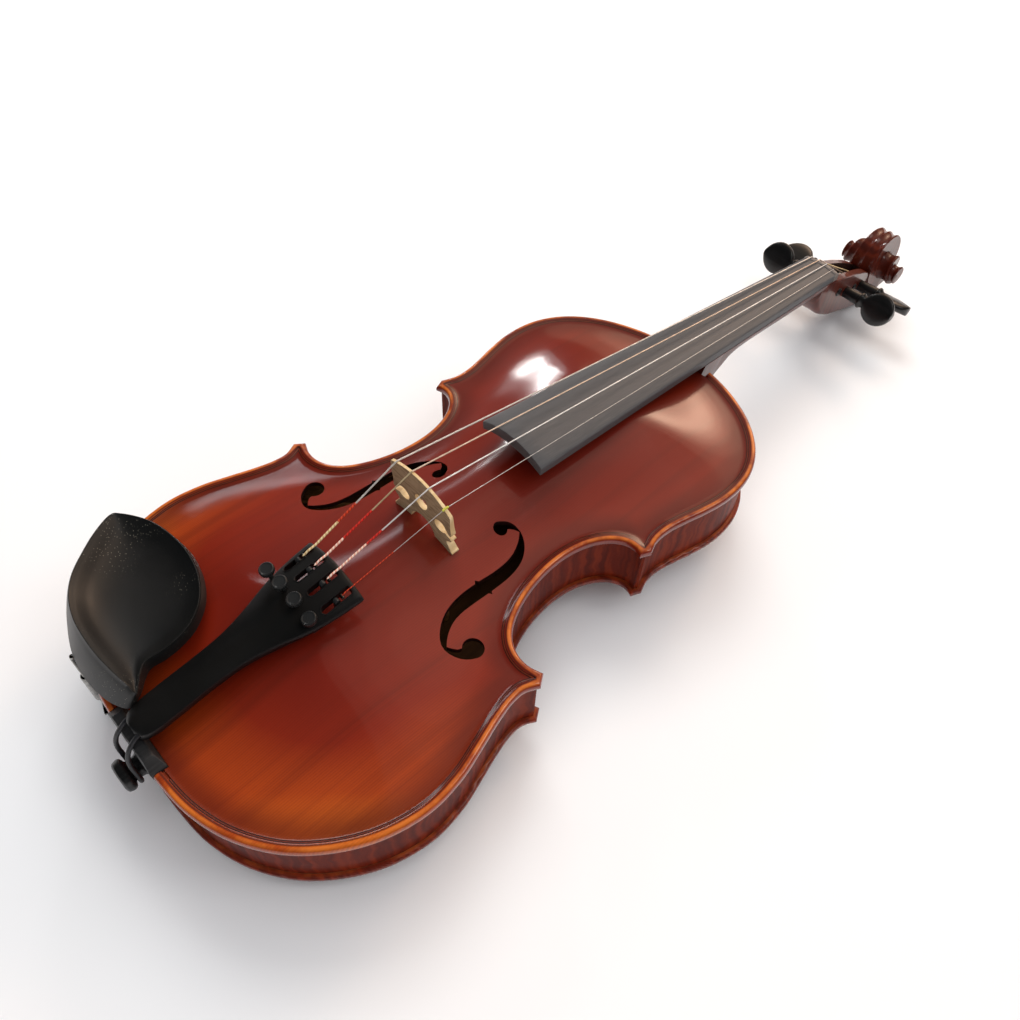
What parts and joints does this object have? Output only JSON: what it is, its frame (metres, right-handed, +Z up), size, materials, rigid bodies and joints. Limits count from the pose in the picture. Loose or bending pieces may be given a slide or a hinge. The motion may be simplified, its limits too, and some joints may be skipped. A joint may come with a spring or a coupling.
{
  "type": "violin",
  "caption": "Full-size violin lying on its back, with fingerboard, strings, bridge, tailpiece with fine tuners, tuning pegs, end button and a clamped chin rest.",
  "frame": {"origin": "centre of the bounding box in plan, at the height the violin rests on (crown of the back and back of the scroll)", "axes": "+Y from the end button to the scroll, +Z up out of the top plate, +X to the treble side"},
  "size_m": [0.208, 0.601, 0.0981],
  "materials": {
    "varnished_spruce": "glossy red-orange varnish",
    "varnished_maple": "glossy red-brown varnish",
    "raw_wood": "bare wood",
    "bridge_maple": "bare flecked maple",
    "ebony": "satin",
    "black_composite": "satin black",
    "string_steel": "fine metal winding",
    "nickel_plate": "bright plate",
    "nut_bone": "pale, polished",
    "cork": "dry cork",
    "dyed_fibre": "dyed strip",
    "tail_cord_nylon": "matte black cord",
    "sleeve_plastic": "yellow-green"
  },
  "bodies": {
    "violin": {"back_plate": "varnished_maple", "bass_bar": "raw_wood", "bridge": "bridge_maple", "chin_rest": "black_composite", "chin_rest_cork": "cork", "clamp_upper_screw_1": "nickel_plate", "clamp_upper_screw_2": "nickel_plate", "corner_block_lower_bass": "raw_wood", "corner_block_lower_treble": "raw_wood", "corner_block_upper_bass": "raw_wood", "corner_block_upper_treble": "raw_wood", "e_string_sleeve": "sleeve_plastic", "end_block": "raw_wood", "end_button": "ebony", "fingerboard": "ebony", "lining_back_bass": "raw_wood", "lining_back_treble": "raw_wood", "lining_top_bass": "raw_wood", "lining_top_treble": "raw_wood", "neck_block": "raw_wood", "neck_scroll": "varnished_maple", "nut": "nut_bone", "purfling_back": "dyed_fibre", "purfling_top_bass": "dyed_fibre", "purfling_top_treble": "dyed_fibre", "rib_lower_bass": "varnished_maple", "rib_lower_treble": "varnished_maple", "rib_middle_bass": "varnished_maple", "rib_middle_treble": "varnished_maple", "rib_upper_bass": "varnished_maple", "rib_upper_treble": "varnished_maple", "saddle": "ebony", "sound_post": "raw_wood", "string_a": "string_steel", "string_d": "string_steel", "string_e": "string_steel", "string_g": "string_steel", "tail_cord": "tail_cord_nylon", "tailpiece": "black_composite", "top_plate": "varnished_spruce"},
    "peg_g": {"peg_g": "ebony", "string_winding_g": "string_steel"},
    "tuner_screw_g": {"tuner_screw_g": "black_composite"},
    "tuner_lever_g": {"tuner_lever_g": "black_composite"},
    "peg_d": {"peg_d": "ebony", "string_winding_d": "string_steel"},
    "tuner_screw_d": {"tuner_screw_d": "black_composite"},
    "tuner_lever_d": {"tuner_lever_d": "black_composite"},
    "peg_a": {"peg_a": "ebony", "string_winding_a": "string_steel"},
    "tuner_screw_a": {"tuner_screw_a": "black_composite"},
    "tuner_lever_a": {"tuner_lever_a": "black_composite"},
    "peg_e": {"peg_e": "ebony", "string_winding_e": "string_steel"},
    "tuner_screw_e": {"tuner_screw_e": "black_composite"},
    "tuner_lever_e": {"tuner_lever_e": "black_composite"},
    "clamp_barrel_1": {"clamp_barrel_1": "nickel_plate"},
    "clamp_barrel_2": {"clamp_barrel_2": "nickel_plate"},
    "clamp_bracket": {"clamp_bracket": "nickel_plate", "clamp_foot_cork": "cork"}
  },
  "joints": [
    {"name": "peg_g_turn", "type": "hinge", "parent": "violin", "child": "peg_g", "pos_m": [0, 0.21101, 0.04097], "axis": [1, 0, 0], "continuous": true},
    {"name": "peg_d_turn", "type": "hinge", "parent": "violin", "child": "peg_d", "pos_m": [0, 0.23734, 0.03098], "axis": [1, 0, 0], "continuous": true},
    {"name": "peg_a_turn", "type": "hinge", "parent": "violin", "child": "peg_a", "pos_m": [0, 0.24909, 0.02709], "axis": [1, 0, 0], "continuous": true},
    {"name": "peg_e_turn", "type": "hinge", "parent": "violin", "child": "peg_e", "pos_m": [0, 0.22294, 0.03557], "axis": [1, 0, 0], "continuous": true},
    {"name": "tuner_screw_g_turn", "type": "hinge", "parent": "violin", "child": "tuner_screw_g", "pos_m": [-0.0142, -0.20578, 0.07143], "axis": [0, -0.1904, 0.9817], "range_deg": [-1050, 1050]},
    {"name": "tuner_lever_g_tilt", "type": "hinge", "parent": "violin", "child": "tuner_lever_g", "pos_m": [-0.0142, -0.19124, 0.06842], "axis": [1, 0, 0], "range_deg": [-6, 6]},
    {"name": "tuner_screw_d_turn", "type": "hinge", "parent": "violin", "child": "tuner_screw_d", "pos_m": [-0.00475, -0.2059, 0.07452], "axis": [0, -0.1904, 0.9817], "range_deg": [-1050, 1050]},
    {"name": "tuner_lever_d_tilt", "type": "hinge", "parent": "violin", "child": "tuner_lever_d", "pos_m": [-0.00475, -0.19136, 0.07127], "axis": [1, 0, 0], "range_deg": [-6, 6]},
    {"name": "tuner_screw_a_turn", "type": "hinge", "parent": "violin", "child": "tuner_screw_a", "pos_m": [0.00475, -0.2059, 0.07452], "axis": [0, -0.1904, 0.9817], "range_deg": [-1050, 1050]},
    {"name": "tuner_lever_a_tilt", "type": "hinge", "parent": "violin", "child": "tuner_lever_a", "pos_m": [0.00475, -0.19136, 0.07127], "axis": [1, 0, 0], "range_deg": [-6, 6]},
    {"name": "tuner_screw_e_turn", "type": "hinge", "parent": "violin", "child": "tuner_screw_e", "pos_m": [0.0142, -0.20578, 0.07143], "axis": [0, -0.1904, 0.9817], "range_deg": [-1050, 1050]},
    {"name": "tuner_lever_e_tilt", "type": "hinge", "parent": "violin", "child": "tuner_lever_e", "pos_m": [0.0142, -0.19124, 0.06842], "axis": [1, 0, 0], "range_deg": [-6, 6]},
    {"name": "clamp_barrel_1_turn", "type": "hinge", "parent": "violin", "child": "clamp_barrel_1", "pos_m": [-0.04867, -0.2878, 0.02583], "axis": [0, -0.0404, 0.9992], "range_deg": [0, 1000]},
    {"name": "clamp_barrel_2_turn", "type": "hinge", "parent": "violin", "child": "clamp_barrel_2", "pos_m": [-0.08406, -0.26628, 0.0267], "axis": [0, -0.0404, 0.9992], "range_deg": [0, 1000]},
    {"name": "clamp_bracket_slide", "type": "slide", "parent": "violin", "child": "clamp_bracket", "axis": [0, 0.0404, -0.9992], "range_m": [0, 0.00389]}
  ],
  "couplings": [
    {"joint": "tuner_lever_g_tilt", "follows": "tuner_screw_g_turn", "ratio": -0.005714},
    {"joint": "tuner_lever_d_tilt", "follows": "tuner_screw_d_turn", "ratio": -0.005714},
    {"joint": "tuner_lever_a_tilt", "follows": "tuner_screw_a_turn", "ratio": -0.005714},
    {"joint": "tuner_lever_e_tilt", "follows": "tuner_screw_e_turn", "ratio": -0.005714},
    {"joint": "clamp_barrel_1_turn", "follows": "clamp_bracket_slide", "rad_per_m": 4488.3},
    {"joint": "clamp_barrel_2_turn", "follows": "clamp_bracket_slide", "rad_per_m": 4488.3}
  ]
}
